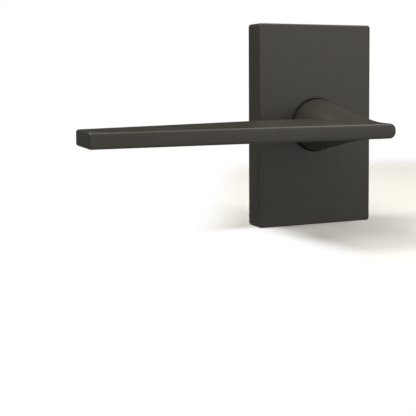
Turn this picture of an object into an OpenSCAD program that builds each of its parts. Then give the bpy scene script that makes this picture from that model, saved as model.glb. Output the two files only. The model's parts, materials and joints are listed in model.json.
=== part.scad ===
// Sprung door lever on a rectangular rosette, the inside half of a passage set.
// Frame: the origin is on the spindle's axis in the door's face.
// +Y goes into the door, +Z is up, and the lever points to -X.

/* [Rosette] */
// Width of the rosette cover
cover_w = 63.5; // [60:0.5:70]
// Height of the rosette cover
cover_h = 101.6; // [98:0.2:110]
// How far the cover stands out from the door
cover_t = 12.7; // [12.5:0.1:14]
// Wall thickness of the cover
cover_wall = 2.3; // [1.8:0.1:2.5]
// Corner radius of the cover, seen from the front
cover_corner = 1.2; // [0.5:0.1:3]
// Radial gap between the neck and the hole in the cover
neck_gap = 0.4; // [0.3:0.05:0.8]

/* [Lever] */
// From the spindle's axis to the tip
tip_reach = 130.6; // [110:0.2:145]
// From the spindle's axis to the blunt end
heel_reach = 9.4; // [8:0.2:12]
// From the cover's front to the lever's front face
stand_off = 58.3; // [52:0.1:62]
// Height of the blade
blade_h = 6.8; // [6:0.1:9]
// Depth of the blade's end face
tip_depth = 23; // [16:0.5:30]
// Radius of the neck where it meets the rosette
neck_r = 13.1; // [13:0.1:15]
// Rounding along the blade's edges
edge_r = 1.1; // [0.8:0.1:2.5]
// Rounding of the blunt end, seen from the front
heel_r = 3; // [2:0.1:3.4]

/* [Door] */
// Radius of the ring that centres the set in the door's bore
bore_ring_r = 26.6; // [26:0.1:26.8]
// Depth of that ring
bore_ring_d = 6; // [4:0.5:8]
// Distance between the two through bolts
bolt_spacing = 41.3; // [41:0.1:42]
// Radius of the through bolts
bolt_r = 2; // [1.9:0.1:2.2]
// How far the through bolts reach behind the door's face
bolt_reach = 44; // [35:1:55]
// Side of the square spindle
spindle_side = 8; // [7.6:0.1:8]
// How far the spindle reaches behind the door's face
spindle_reach = 60; // [45:1:70]

/* [Spring] */
// Wire diameter of the return spring
wire_d = 1.4; // [1.2:0.1:1.5]
// Turns between the spring's two legs
spring_turns = 2; // [1:1:2]
// Travel of the lever each way
lever_travel = 50; // [40:1:52]

/* [Hidden] */
$fn = 96;

// A gap between two pieces of one body that are fitted together
fit = 0.03;
// A gap between a shaft and the bush that it turns in
running = 0.06;
// A gap round a screw
clearance = 0.1;
// How far a cutting shape passes a face
over = 0.5;

// The mounting plate and the space in front of it
plate_t = 2;
plate_margin = 0.35;
plate_w = cover_w - 2 * (cover_wall + plate_margin);
plate_h = cover_h - 2 * (cover_wall + plate_margin);
cover_inner_y = -(cover_t - cover_wall);
cover_inner_corner = 0.6;

// The centring ring and its pegs
ring_wall = 2;
peg_ring_r = bore_ring_r - ring_wall / 2;
peg_r = 0.75;

// The cover's fixing
tab_w = 14;
tab_t = 1.5;
tab_inset = 2.4;
tab_front_y = -8.6;
cover_screw_y = -5.5;
cover_screw_r = 1.5;
cover_screw_recess = 0.3;
cover_boss = 7;
cover_boss_h = 1.7;
ledge_t = 1.2;
ledge_h = 1.9;
// How far a small piece sinks into the wall that it stands on
root = 0.2;
tab_z = plate_h / 2 - tab_inset;

// The spring housing
housing_front_y = -9.9;
housing_wall = 1.3;
housing_r = 16.2;
pocket_r = 20.4;
pocket_half_angle = lever_travel + 21;
pocket_wall_angle = 4;
flange_r = 25.5;
flange_t = 1.2;
post_r0 = 16.45;
post_r1 = 18;
post_w = 4;
rivet_ring_r = 23;
rivet_angle = 40;
rivet_r = 1.3;
rivet_head_r = 2.3;
rivet_head_t = 1;
rivet_dome_r = 3.1;

// The bushings
front_bush_r = 11.3;
front_bush_flange_r = 12.9;
front_bush_front_y = -10.85;
front_bush_back_y = -8.45;
rear_bush_r = 10;
rear_bush_flange_r = 11.6;
rear_bush_flange_t = 1;

// The moving parts
neck_end_y = -11.2;
journal_r = 10;
journal_end_y = -8;
sleeve_r = 7.5;
sleeve_front_y = -30;
sleeve_back_y = 8;
bore_side = spindle_side + 0.2;
hub_r = 9.8;
cam_front_y = -7.8;
cam_arm_y = -3.5;
cam_back_y = -2.25;
cam_arm_angle = 20;
cam_arm_r = 16.1;
cam_disc_r = 14.4;
finger_r0 = 14.2;
finger_r1 = 15.4;
flat_half = 6.9;
thrust_y = 1.1;
thrust_t = 0.8;
groove_r = 6.9;
groove_y = 3.2;
ring_t = 1.0;
lever_screw_r = 2;
lever_screw_y = -21;

// The through bolts and the wood screws
shoulder_r = bolt_r + 0.5;
bolt_head_r = 3.9;
bolt_head_t = 2.8;
washer_r = 4.15;
washer_t = 0.8;
notch_r = 4.5;
plate_screw_z = 40;
plate_screw_r = 1.9;
plate_screw_head_r = 3.8;
plate_screw_reach = 16;

// The return spring
coil_r = 12.45;
coil_front_y = -8.3 + wire_d / 2;
coil_pitch = wire_d + 0.15;
leg_offset = post_w / 2 + wire_d / 2 + 0.1;
leg_r = post_r1 + 0.4;

// The lever's shape
blade_half = blade_h / 2;
front_y = -(cover_t + stand_off);
neck_y = -(cover_t + 2.5);
loft_depth = neck_y - front_y;
back_corner_y = front_y + tip_depth;
back_edge_end_x = -20;
back_edge_run = tip_reach + back_edge_end_x;
back_edge_slope = back_edge_run / (neck_y - back_corner_y);
neck_end_half_w = 8;
neck_taper = 1.55;
heel_taper = 1.7;
crease_blend = 1.6;
corner_blend = 3;

// ---------------------------------------------------------------- helpers

// A cylinder along Y from y0 to y1
module along_y(r, y0, y1, r2 = undef) {
    translate([0, y0, 0])
        rotate([-90, 0, 0])
            cylinder(h = y1 - y0, r1 = r, r2 = is_undef(r2) ? r : r2);
}

// A flat outline in X and Z, thickened along Y from y0 to y1
module plate_of(y0, y1) {
    translate([0, y1, 0])
        rotate([90, 0, 0])
            linear_extrude(height = y1 - y0)
                children();
}

// A rectangle with round corners
module round_rect(w, h, r) {
    square([w - 2 * r, h], center = true);
    square([w, h - 2 * r], center = true);
    for (x = [-1, 1], z = [-1, 1])
        translate([x * (w / 2 - r), z * (h / 2 - r)])
            circle(r = r);
}

// A wedge of a disc about +X, from -half_angle to half_angle
module wedge(r, half_angle) {
    far = 2 * r;
    intersection() {
        circle(r = r);
        polygon([
            [0, 0],
            [far * cos(half_angle), -far * sin(half_angle)],
            [far, -far * tan(min(half_angle, 80) / 2)],
            [far, far * tan(min(half_angle, 80) / 2)],
            [far * cos(half_angle), far * sin(half_angle)]
        ]);
    }
}

// A hexagonal hole up from 0, with the given radius across its corners
module hex_socket(r, depth) {
    translate([0, 0, -over])
        cylinder(h = depth + over, r = r, $fn = 6);
}

// Two copies, above and below the spindle
module both_bolts(z) {
    for (side = [-1, 1])
        translate([0, 0, side * z])
            children();
}

// ---------------------------------------------------------- fixed pieces

module rosette_cover() {
    color("#4a463f")
        difference() {
            union() {
                difference() {
                    plate_of(-cover_t, 0) round_rect(cover_w, cover_h, cover_corner);
                    plate_of(cover_inner_y, over)
                        round_rect(
                            cover_w - 2 * cover_wall,
                            cover_h - 2 * cover_wall,
                            cover_inner_corner
                        );
                }
                // ledge that hooks over the plate's upper tab
                translate([-tab_w / 2, tab_front_y - ledge_t - 0.3, cover_h / 2 - cover_wall - ledge_h])
                    cube([tab_w, ledge_t, ledge_h + root]);
                // boss for the grub screw
                translate([-cover_boss / 2, cover_inner_y - root, -cover_h / 2 + cover_wall - root])
                    cube([cover_boss, cover_boss + 0.6, cover_boss_h + root]);
            }
            along_y(neck_r + neck_gap, -cover_t - over, cover_inner_y + over);
            translate([0, cover_screw_y, -cover_h / 2 - over])
                cylinder(h = cover_wall + 4, r = cover_screw_r + fit);
        }
}

module cover_grub_screw() {
    length = cover_h / 2 - cover_screw_recess - tab_z - fit;
    point = 0.8;
    color("#2b2b2c")
        translate([0, cover_screw_y, -cover_h / 2 + cover_screw_recess])
            difference() {
                union() {
                    cylinder(h = length - point, r = cover_screw_r);
                    translate([0, 0, length - point])
                        cylinder(h = point, r1 = cover_screw_r, r2 = cover_screw_r / 2);
                }
                hex_socket(0.87, 1.6);
            }
}

// A tab bent forward out of the plate, at the given height, with its outer face there
module plate_tab(z) {
    inner = z > 0 ? z - tab_t : z;
    translate([-tab_w / 2, tab_front_y, inner])
        cube([tab_w, -tab_front_y - plate_t + root, tab_t]);
}

module mounting_plate() {
    color("#9a9da0")
        difference() {
            union() {
                plate_of(-plate_t, 0) round_rect(plate_w, plate_h, 1);
                plate_tab(tab_z);
                plate_tab(-tab_z);
            }
            along_y(rear_bush_r + fit, -plate_t - over, over);
            both_bolts(bolt_spacing / 2)
                along_y(shoulder_r + 0.15, -plate_t - over, over);
            both_bolts(plate_screw_z) {
                along_y(plate_screw_r + clearance, -plate_t - over, over);
                along_y(
                    plate_screw_head_r + clearance,
                    -plate_t - clearance,
                    clearance,
                    plate_screw_r + clearance
                );
            }
            for (a = [rivet_angle, 180 - rivet_angle, 180 + rivet_angle, -rivet_angle])
                rotate([0, -a, 0])
                    translate([rivet_ring_r, 0, 0])
                        along_y(rivet_r + fit, -plate_t - over, over);
            for (a = [0, 120, 240])
                rotate([0, -a, 0])
                    translate([peg_ring_r, 0, 0])
                        along_y(peg_r + fit, -plate_t - over, over);
        }
}

module centring_ring() {
    color("#d9d6cc") {
        difference() {
            along_y(bore_ring_r, 0, bore_ring_d);
            along_y(bore_ring_r - ring_wall, -over, bore_ring_d + over);
        }
        for (a = [0, 120, 240])
            rotate([0, -a, 0])
                translate([peg_ring_r, 0, 0])
                    along_y(peg_r, -plate_t + root, root);
    }
}

// The housing's inner outline, grown by a wall
module housing_outline(wall) {
    circle(r = housing_r - housing_wall + wall);
    wedge(pocket_r - housing_wall + wall, pocket_half_angle + (wall > 0 ? pocket_wall_angle : 0));
}

module spring_housing() {
    floor_y = housing_front_y + housing_wall;
    post_h = 5.2;
    color("#2b2b2c")
        difference() {
            union() {
                plate_of(housing_front_y, -plate_t)
                    housing_outline(housing_wall);
                plate_of(-plate_t - flange_t, -plate_t)
                    difference() {
                        circle(r = flange_r);
                        for (side = [-1, 1])
                            translate([0, side * bolt_spacing / 2])
                                circle(r = notch_r);
                        for (side = [-1, 1])
                            translate([0, side * (bolt_spacing / 2 + 4)])
                                square([2 * notch_r, 8], center = true);
                    }
            }
            difference() {
                plate_of(floor_y, -plate_t + over)
                    housing_outline(0);
                // fixed post between the spring's legs
                translate([post_r0, floor_y - 0.1, -post_w / 2])
                    cube([post_r1 - post_r0, post_h, post_w]);
            }
            along_y(front_bush_r + fit, housing_front_y - over, floor_y + over);
            for (a = [rivet_angle, 180 - rivet_angle, 180 + rivet_angle, -rivet_angle])
                rotate([0, -a, 0])
                    translate([rivet_ring_r, 0, 0])
                        along_y(rivet_r + fit, -plate_t - flange_t - over, -plate_t + over);
        }
}

module housing_rivets() {
    head_y = -plate_t - flange_t;
    color("#b4b6b8")
        for (a = [rivet_angle, 180 - rivet_angle, 180 + rivet_angle, -rivet_angle])
            rotate([0, -a, 0])
                translate([rivet_ring_r, 0, 0]) {
                    along_y(rivet_r, head_y - 0.1, 0);
                    translate([0, head_y, 0])
                        rotate([90, 0, 0])
                            rotate_extrude()
                                intersection() {
                                    translate([0, rivet_head_t - rivet_dome_r])
                                        circle(r = rivet_dome_r);
                                    square([rivet_head_r, rivet_head_t]);
                                }
                }
}

module front_bushing() {
    color("#e4e1d6")
        difference() {
            union() {
                along_y(front_bush_flange_r, front_bush_front_y, housing_front_y - 0.05);
                along_y(front_bush_r, housing_front_y - 0.1, front_bush_back_y);
            }
            along_y(journal_r + running, front_bush_front_y - over, front_bush_back_y + over);
        }
}

module rear_bushing() {
    color("#e4e1d6")
        difference() {
            union() {
                along_y(rear_bush_r, -plate_t - 0.1, 0.1);
                along_y(rear_bush_flange_r, 0.05, 0.05 + rear_bush_flange_t);
            }
            along_y(sleeve_r + running, -plate_t - over, rear_bush_flange_t + over);
        }
}

// A machine screw along Y with its head's underside at y and a plain shoulder down to the door
module machine_screw(y, r, reach, head_r, head_t) {
    dome_r = 6;
    difference() {
        union() {
            along_y(shoulder_r, y - 0.1, 0.1);
            along_y(r, 0, reach - 1);
            along_y(r, reach - 1, reach, r - 0.6);
            // low domed head
            translate([0, y, 0])
                rotate([90, 0, 0])
                    rotate_extrude()
                        intersection() {
                            square([head_r, head_t]);
                            translate([0, head_t - dome_r])
                                circle(r = dome_r);
                        }
        }
        for (a = [0, 90])
            rotate([0, a, 0])
                translate([-2, y - head_t - over, -0.45])
                    cube([4, over + 1.5, 0.9]);
    }
}

module through_bolts() {
    color("#a9abad")
        both_bolts(bolt_spacing / 2)
            machine_screw(-plate_t - washer_t, bolt_r, bolt_reach, bolt_head_r, bolt_head_t);
}

module bolt_washers() {
    color("#bfc1c3")
        both_bolts(bolt_spacing / 2)
            difference() {
                along_y(washer_r, -plate_t - washer_t, -plate_t);
                along_y(shoulder_r + 0.1, -plate_t - washer_t - over, -plate_t + over);
            }
}

module plate_screws() {
    point_y = plate_screw_reach - 4;
    color("#a9abad")
        both_bolts(plate_screw_z)
            difference() {
                union() {
                    along_y(plate_screw_head_r, -plate_t, 0, plate_screw_r);
                    along_y(plate_screw_r, -0.1, point_y);
                    along_y(plate_screw_r, point_y, plate_screw_reach, 0.3);
                }
                for (a = [0, 90])
                    rotate([0, a, 0])
                        translate([-1.8, -plate_t - over, -0.4])
                            cube([3.6, over + 1.3, 0.8]);
            }
}

// ------------------------------------------------------- return spring

// Points along the wire: out of one leg, round the coil, and out along the other leg.
// Each leg runs straight out along +X, on its own side of the post.
leg_angle = asin(leg_offset / coil_r);
coil_steps = 26;
coil_sweep = 360 * spring_turns - 2 * leg_angle;
function coil_point(s) =
    let (a = leg_angle + coil_sweep * s)
    [coil_r * cos(a), coil_front_y + coil_pitch * spring_turns * s, coil_r * sin(a)];
function leg_point(side, x) =
    [x, side > 0 ? coil_front_y : coil_front_y + coil_pitch * spring_turns, side * leg_offset];
coil_start_x = coil_r * cos(leg_angle);
wire_path = concat(
    [leg_point(1, leg_r), leg_point(1, coil_start_x + 1.2)],
    [for (i = [0:coil_steps * spring_turns]) coil_point(i / (coil_steps * spring_turns))],
    [leg_point(-1, coil_start_x + 1.2), leg_point(-1, leg_r)]
);

function unit(v) = v / norm(v);
wire_sides = 8;

// A ring of points round the wire at path point i, square to the wire
function wire_ring(path, i) =
    let (
        last = len(path) - 1,
        along = unit(path[min(i + 1, last)] - path[max(i - 1, 0)]),
        side = unit(cross(along, [0, 1, 0])),
        up = cross(side, along)
    )
    [for (k = [0:wire_sides - 1])
        let (a = 360 * k / wire_sides)
        path[i] + wire_d / 2 * (cos(a) * side + sin(a) * up)];

module return_spring() {
    rings = len(wire_path);
    points = [for (i = [0:rings - 1]) each wire_ring(wire_path, i)];
    sides = [for (i = [0:rings - 2], k = [0:wire_sides - 1])
        let (n = (k + 1) % wire_sides, p = i * wire_sides)
        [p + k, p + n, p + wire_sides + n, p + wire_sides + k]];
    first_cap = [for (k = [wire_sides - 1:-1:0]) k];
    last_cap = [for (k = [0:wire_sides - 1]) (rings - 1) * wire_sides + k];
    color("#7d8286")
        polyhedron(points = points, faces = concat(sides, [first_cap, last_cap]), convexity = 6);
}

// --------------------------------------------------------- moving pieces

// The larger of two values, with the step between them rounded over k
function soft_max(a, b, k) =
    let (h = max(k - abs(a - b), 0) / k)
    max(a, b) + h * h * k / 4;

// How far along the neck a section lies: 0 at the rosette, 1 at the front
function neck_part(y) = min(1, (neck_y - y) / loft_depth);

// The left and right ends of the section at depth y
function left_x(y) =
    soft_max(-tip_reach, -tip_reach + (y - back_corner_y) * back_edge_slope, corner_blend);
function right_x(y) = neck_r - (neck_r - heel_reach) * pow(neck_part(y), heel_taper);

// Width of the rounding at the left end, which the diagonal back edge stretches
function left_round(y) =
    let (slope = (left_x(y + 0.01) - left_x(y - 0.01)) / 0.02)
    edge_r * sqrt(1 + slope * slope);

// Half the neck's width and height
function neck_half_w(y) = neck_r - (neck_r - neck_end_half_w) * neck_part(y);
function neck_half_h(y) = blade_half + (neck_r - blade_half) * pow(1 - neck_part(y), neck_taper);

// Height of a quarter-round edge of radius r, whose run is w, at distance d from the edge
function edge_drop(d, w, r) = d >= w ? 0 : r - r * sqrt(max(0, 1 - pow(1 - d / w, 2)));

function blade_top(x, y) =
    blade_half
    - edge_drop(x - left_x(y), left_round(y), edge_r)
    - edge_drop(right_x(y) - x, heel_r, heel_r);

function neck_top(x, y) =
    let (
        s = (x - right_x(y)) / neck_half_w(y) + 1,
        power = 2 + 0.3 * neck_part(y)
    )
    abs(s) >= 1 ? 0 : neck_half_h(y) * pow(1 - pow(abs(s), power), 1 / power);

function top_z(x, y) = soft_max(blade_top(x, y), neck_top(x, y), crease_blend * (1.02 - neck_part(y)));

// Places across a section: the rounding at the left, the flat, and the neck by angle
edge_steps = 4;
flat_steps = 3;
neck_steps = 18;
function section_x(y) =
    let (
        x0 = left_x(y),
        w = left_round(y),
        neck_x = right_x(y) - 2 * neck_half_w(y),
        flat_x = min(x0 + w, neck_x - 1.5)
    )
    concat(
        [for (i = [0:edge_steps]) x0 + (flat_x - x0) * (1 - cos(90 * i / edge_steps))],
        [for (i = [1:flat_steps]) flat_x + (neck_x - flat_x) * i / flat_steps],
        [for (i = [1:neck_steps]) neck_x + neck_half_w(y) * (1 - cos(180 * i / neck_steps))]
    );

// A closed section at depth y. Within the front edge's rounding it is inset all round.
function section(y) =
    let (
        inset = edge_drop(y - front_y, edge_r, edge_r),
        xs = section_x(y),
        x0 = xs[0],
        x1 = xs[len(xs) - 1],
        scale_x = (x1 - x0 - 2 * inset) / (x1 - x0),
        upper = [for (x = xs) [x0 + inset + (x - x0) * scale_x, y, max(0.2, top_z(x, y) - inset)]]
    )
    concat(upper, [for (i = [len(upper) - 1:-1:0]) [upper[i].x, y, -upper[i].z]]);

// The blade's back end rounds off into the neck over this depth
stub_depth = 1.8;
stub_steps = 3;

// Angles round the neck, one for each point of a section's upper half
function neck_angles() =
    let (left = edge_steps + flat_steps, first = 180 / neck_steps)
    concat(
        [for (i = [0:left]) first * (i + 0.5) / (left + 1)],
        [for (i = [1:neck_steps]) 180 * i / neck_steps]
    );

// A closed section of that rounding: part 0 is the blade's back end, and part 1 the neck's circle
function stub_section(part) =
    let (
        keep = sqrt(1 - part * part),
        y = neck_y + stub_depth * part,
        r = neck_r - fit,
        blade = section(neck_y),
        angles = neck_angles(),
        upper = [for (i = [0:len(angles) - 1])
            let (x = -r * cos(angles[i]), z = max(0.2, r * sin(angles[i])))
            [x + (blade[i].x - x) * keep, y, z + (blade[i].z - z) * keep]]
    )
    concat(upper, [for (i = [len(upper) - 1:-1:0]) [upper[i].x, y, -upper[i].z]]);

body_sections = 9;
end_sections = 4;
section_depths = concat(
    [for (i = [0:body_sections]) neck_y + (back_corner_y + 2 - neck_y) * i / body_sections],
    [for (i = [1:4]) back_corner_y + 2 - i],
    [for (i = [1:end_sections])
        back_corner_y - 2 + (front_y + edge_r - back_corner_y + 2) * i / end_sections],
    [for (i = [1:4]) front_y + edge_r * (1 - sin(90 * i / 4))]
);

module lever_body() {
    sections = concat(
        [for (i = [stub_steps:-1:1]) stub_section(sin(90 * i / stub_steps))],
        [for (y = section_depths) section(y)]
    );
    size = len(sections[0]);
    count = len(sections);
    points = [for (s = sections) each s];
    walls = [for (j = [0:count - 2], i = [0:size - 1])
        let (n = (i + 1) % size, p = j * size)
        each [[p + i, p + n, p + size + n], [p + i, p + size + n, p + size + i]]];
    front = (count - 1) * size;
    // each end is closed by a strip between its upper and lower points
    caps = [for (i = [0:size / 2 - 2])
        let (n = i + 1, m = size - 1 - i, k = size - 2 - i)
        each [[i, k, n], [i, m, k], [front + i, front + n, front + k], [front + i, front + k, front + m]]];
    polyhedron(points = points, faces = concat(walls, caps), convexity = 6);
}

module lever() {
    color("#4a463f")
        difference() {
            union() {
                lever_body();
                along_y(neck_r, neck_y - 0.2, neck_end_y);
                along_y(journal_r, neck_end_y - 0.2, journal_end_y);
            }
            along_y(sleeve_r + fit, sleeve_front_y - fit, journal_end_y + over);
            translate([0, lever_screw_y, -neck_r - over])
                cylinder(h = neck_r, r = lever_screw_r + fit);
        }
}

module lever_grub_screw() {
    top = -spindle_side / 2 - fit;
    length = 6.8;
    point = 0.9;
    color("#2b2b2c")
        translate([0, lever_screw_y, top - length])
            difference() {
                union() {
                    cylinder(h = length - point, r = lever_screw_r);
                    translate([0, 0, length - point])
                        cylinder(h = point, r1 = lever_screw_r, r2 = 1.2);
                }
                hex_socket(1.15, 2.4);
            }
}

module drive_sleeve() {
    color("#8f9396")
        difference() {
            along_y(sleeve_r, sleeve_front_y, sleeve_back_y);
            translate([-bore_side / 2, sleeve_front_y - over, -bore_side / 2])
                cube([bore_side, sleeve_back_y - sleeve_front_y + 2 * over, bore_side]);
            translate([0, lever_screw_y, -sleeve_r - 1])
                cylinder(h = sleeve_r, r = lever_screw_r + 0.1);
            // groove for the retaining ring
            difference() {
                along_y(sleeve_r + 1, groove_y, groove_y + ring_t + 0.1);
                along_y(groove_r, groove_y - over, groove_y + ring_t + over);
            }
            // flats that drive the cam
            for (side = [-1, 1])
                translate([-sleeve_r, cam_front_y - 0.1, side > 0 ? flat_half : -flat_half - 2])
                    cube([2 * sleeve_r, cam_back_y - cam_front_y + 0.2, 2]);
        }
}

module drive_cam() {
    color("#6f7376")
        difference() {
            union() {
                along_y(hub_r, cam_front_y, cam_back_y);
                plate_of(cam_arm_y, cam_back_y) {
                    circle(r = cam_disc_r);
                    wedge(cam_arm_r, cam_arm_angle);
                }
                // finger between the spring's legs
                translate([finger_r0, cam_front_y, -post_w / 2])
                    cube([finger_r1 - finger_r0, cam_arm_y - cam_front_y + 0.2, post_w]);
            }
            plate_of(cam_front_y - over, cam_back_y + over)
                intersection() {
                    circle(r = sleeve_r + fit);
                    square([3 * sleeve_r, 2 * (flat_half + fit)], center = true);
                }
        }
}

module thrust_washer() {
    color("#c2c4c6")
        difference() {
            along_y(11, thrust_y, thrust_y + thrust_t);
            along_y(sleeve_r + clearance, thrust_y - over, thrust_y + thrust_t + over);
        }
}

module spring_washer() {
    inner = sleeve_r + 0.15;
    outer = 10.6;
    t = 0.5;
    rise = 0.6;
    color("#5e6265")
        translate([0, thrust_y + thrust_t + 0.05, 0])
            rotate([-90, 0, 0])
                rotate_extrude()
                    polygon([[inner, rise], [outer, 0], [outer, t], [inner, rise + t]]);
}

module retaining_ring() {
    ear_r = 1.6;
    ear_ring_r = groove_r + 1.6;
    ear_angle = 20;
    band = 2.3;
    mouth = 3;
    color("#55595c")
        plate_of(groove_y + 0.05, groove_y + 0.05 + ring_t)
            difference() {
                union() {
                    circle(r = groove_r + band);
                    for (side = [-1, 1])
                        rotate([0, 0, -90 + side * ear_angle])
                            translate([ear_ring_r, 0])
                                circle(r = ear_r);
                }
                circle(r = groove_r + fit);
                // mouth
                translate([-mouth / 2, -groove_r - 5])
                    square([mouth, 6]);
                for (side = [-1, 1])
                    rotate([0, 0, -90 + side * ear_angle])
                        translate([ear_ring_r, 0])
                            circle(r = 0.6);
            }
}

module spindle() {
    length = spindle_reach - sleeve_front_y - 1.5;
    corner_cut = 0.2;
    half = spindle_side / 2;
    color("#9b9ea1")
        intersection() {
            translate([-half, sleeve_front_y + 1.5, -half])
                cube([spindle_side, length, spindle_side]);
            union() {
                along_y(2 * half, sleeve_front_y, spindle_reach - 2);
                along_y(2 * half, spindle_reach - 2.01, spindle_reach, half);
            }
            along_y(half * sqrt(2) - corner_cut, sleeve_front_y, spindle_reach + 1);
        }
}

rosette_cover();
cover_grub_screw();
mounting_plate();
centring_ring();
spring_housing();
housing_rivets();
front_bushing();
rear_bushing();
through_bolts();
bolt_washers();
plate_screws();
return_spring();
lever();
lever_grub_screw();
drive_sleeve();
drive_cam();
thrust_washer();
spring_washer();
retaining_ring();
spindle();
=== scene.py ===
import json
import math

import bmesh
import bpy
import numpy as np
from mathutils import Matrix, Vector


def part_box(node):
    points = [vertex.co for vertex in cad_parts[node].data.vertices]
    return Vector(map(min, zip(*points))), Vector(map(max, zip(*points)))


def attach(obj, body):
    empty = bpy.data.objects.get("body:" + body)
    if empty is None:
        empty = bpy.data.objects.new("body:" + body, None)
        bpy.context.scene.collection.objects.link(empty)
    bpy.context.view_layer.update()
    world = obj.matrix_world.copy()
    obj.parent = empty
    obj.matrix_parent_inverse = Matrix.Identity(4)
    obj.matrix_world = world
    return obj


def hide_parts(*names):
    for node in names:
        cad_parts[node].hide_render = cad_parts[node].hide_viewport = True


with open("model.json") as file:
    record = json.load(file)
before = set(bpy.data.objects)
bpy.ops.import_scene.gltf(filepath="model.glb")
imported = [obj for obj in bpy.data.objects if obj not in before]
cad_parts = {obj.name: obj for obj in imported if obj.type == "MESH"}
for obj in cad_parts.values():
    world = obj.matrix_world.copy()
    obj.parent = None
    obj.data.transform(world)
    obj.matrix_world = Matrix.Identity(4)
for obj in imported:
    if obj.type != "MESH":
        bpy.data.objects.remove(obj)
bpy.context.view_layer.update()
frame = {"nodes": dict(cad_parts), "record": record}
NODES = frame["nodes"]
MM = 0.001


def node_box(node):
    """A CAD node's lowest and highest corners, in millimetres."""
    low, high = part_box(node)
    return [v / MM for v in low], [v / MM for v in high]


# ------------------------------------------------------------------ materials
# Colours are linear (r, g, b), each pair of them the two ends of a cloudy blend.

EDGE_MASK_R = 0.4 * MM
# the mask is 1 where the rounded normal turns this cosine away from the face's
EDGE_MASK_COSINE = 0.88
BRONZE = (0.0365, 0.0315, 0.0240), (0.0420, 0.0368, 0.0285)
BRONZE_SPECK = (0.054, 0.047, 0.037)
BRONZE_RUBBED = (0.085, 0.072, 0.055)
STEEL_SCUFF = (0.72, 0.72, 0.72)
ACETAL = (0.64, 0.61, 0.53), (0.70, 0.67, 0.60)
ACETAL_GRIME = (0.44, 0.41, 0.35)


def shader(name):
    """A new material, its node tree and its Principled shader."""
    material = bpy.data.materials.new(name)
    material.use_nodes = True
    tree = material.node_tree
    return material, tree, tree.nodes["Principled BSDF"]


def place(tree, stretch=(1, 1, 1)):
    """Texture coordinates in metres in the row frame, stretched per axis."""
    coords = tree.nodes.new("ShaderNodeTexCoord")
    mapping = tree.nodes.new("ShaderNodeMapping")
    mapping.inputs["Scale"].default_value = stretch
    tree.links.new(coords.outputs["Object"], mapping.inputs["Vector"])
    return mapping.outputs["Vector"]


def noise(tree, where, scale, detail=3.0, roughness=0.5, low=0.35, high=0.65):
    """Noise with its scale per metre, and with low to high spread over 0 to 1."""
    texture = tree.nodes.new("ShaderNodeTexNoise")
    texture.inputs["Scale"].default_value = scale
    texture.inputs["Detail"].default_value = detail
    texture.inputs["Roughness"].default_value = roughness
    tree.links.new(where, texture.inputs["Vector"])
    return spread(tree, texture.outputs["Fac"], low, high, 0.0, 1.0)


def spread(tree, value, from_low, from_high, to_low, to_high, curve="LINEAR"):
    """Maps a value from one range to another and clamps it there."""
    node = tree.nodes.new("ShaderNodeMapRange")
    node.interpolation_type = curve
    node.inputs["From Min"].default_value = from_low
    node.inputs["From Max"].default_value = from_high
    node.inputs["To Min"].default_value = to_low
    node.inputs["To Max"].default_value = to_high
    tree.links.new(value, node.inputs["Value"])
    return node.outputs["Result"]


def times(tree, a, b):
    """The product of a socket and a socket or number."""
    node = tree.nodes.new("ShaderNodeMath")
    node.operation = "MULTIPLY"
    tree.links.new(a, node.inputs[0])
    if isinstance(b, (int, float)):
        node.inputs[1].default_value = b
    else:
        tree.links.new(b, node.inputs[1])
    return node.outputs["Value"]


def blend_colour(tree, factor, first, second):
    """A colour between two, each a socket or an (r, g, b)."""
    node = tree.nodes.new("ShaderNodeMix")
    node.data_type = "RGBA"
    tree.links.new(factor, node.inputs["Factor"])
    for key, colour in (("A", first), ("B", second)):
        socket = [s for s in node.inputs if s.name == key and s.type == "RGBA"][0]
        if isinstance(colour, tuple):
            socket.default_value = (*colour, 1.0)
        else:
            tree.links.new(colour, socket)
    return [s for s in node.outputs if s.type == "RGBA"][0]


def add_bumps(tree, surface, bumps):
    """Chains bumps of (height socket, depth in metres, strength) into the shader's normal."""
    normal = None
    for height, depth, strength in bumps:
        node = tree.nodes.new("ShaderNodeBump")
        node.inputs["Distance"].default_value = depth
        node.inputs["Strength"].default_value = strength
        tree.links.new(height, node.inputs["Height"])
        if normal is not None:
            tree.links.new(normal, node.inputs["Normal"])
        normal = node.outputs["Normal"]
    tree.links.new(normal, surface.inputs["Normal"])


def edge_mask(tree):
    """1 along edges and corners, and 0 on the faces between them."""
    rounded = tree.nodes.new("ShaderNodeBevel")
    rounded.samples = 6
    rounded.inputs["Radius"].default_value = EDGE_MASK_R
    geometry = tree.nodes.new("ShaderNodeNewGeometry")
    turn = tree.nodes.new("ShaderNodeVectorMath")
    turn.operation = "DOT_PRODUCT"
    tree.links.new(rounded.outputs["Normal"], turn.inputs[0])
    tree.links.new(geometry.outputs["Normal"], turn.inputs[1])
    return spread(tree, turn.outputs["Value"], 1.0, EDGE_MASK_COSINE, 0.0, 1.0)


def bronze_finish():
    """Satin dark bronze, a thin even coat with a faint orange peel and slightly rubbed edges."""
    material, tree, surface = shader("bronze_finish")
    where = place(tree)
    cloud = noise(tree, where, 55, 4, 0.55)
    speck = noise(tree, where, 1900, 2, 0.6)
    peel = noise(tree, where, 1300, 3, 0.55)
    swell = noise(tree, where, 160, 2, 0.5)
    body = blend_colour(tree, cloud, *BRONZE)
    body = blend_colour(tree, times(tree, speck, 0.25), body, BRONZE_SPECK)
    worn = times(tree, edge_mask(tree), times(tree, noise(tree, where, 420), 0.35))
    body = blend_colour(tree, worn, body, BRONZE_RUBBED)
    tree.links.new(body, surface.inputs["Base Color"])
    tree.links.new(spread(tree, cloud, 0, 1, 0.33, 0.39), surface.inputs["Roughness"])
    surface.inputs["Metallic"].default_value = 0.0
    surface.inputs["Specular IOR Level"].default_value = 0.5
    add_bumps(tree, surface, [(peel, 0.00004, 0.25), (swell, 0.0001, 0.08)])
    return material


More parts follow.
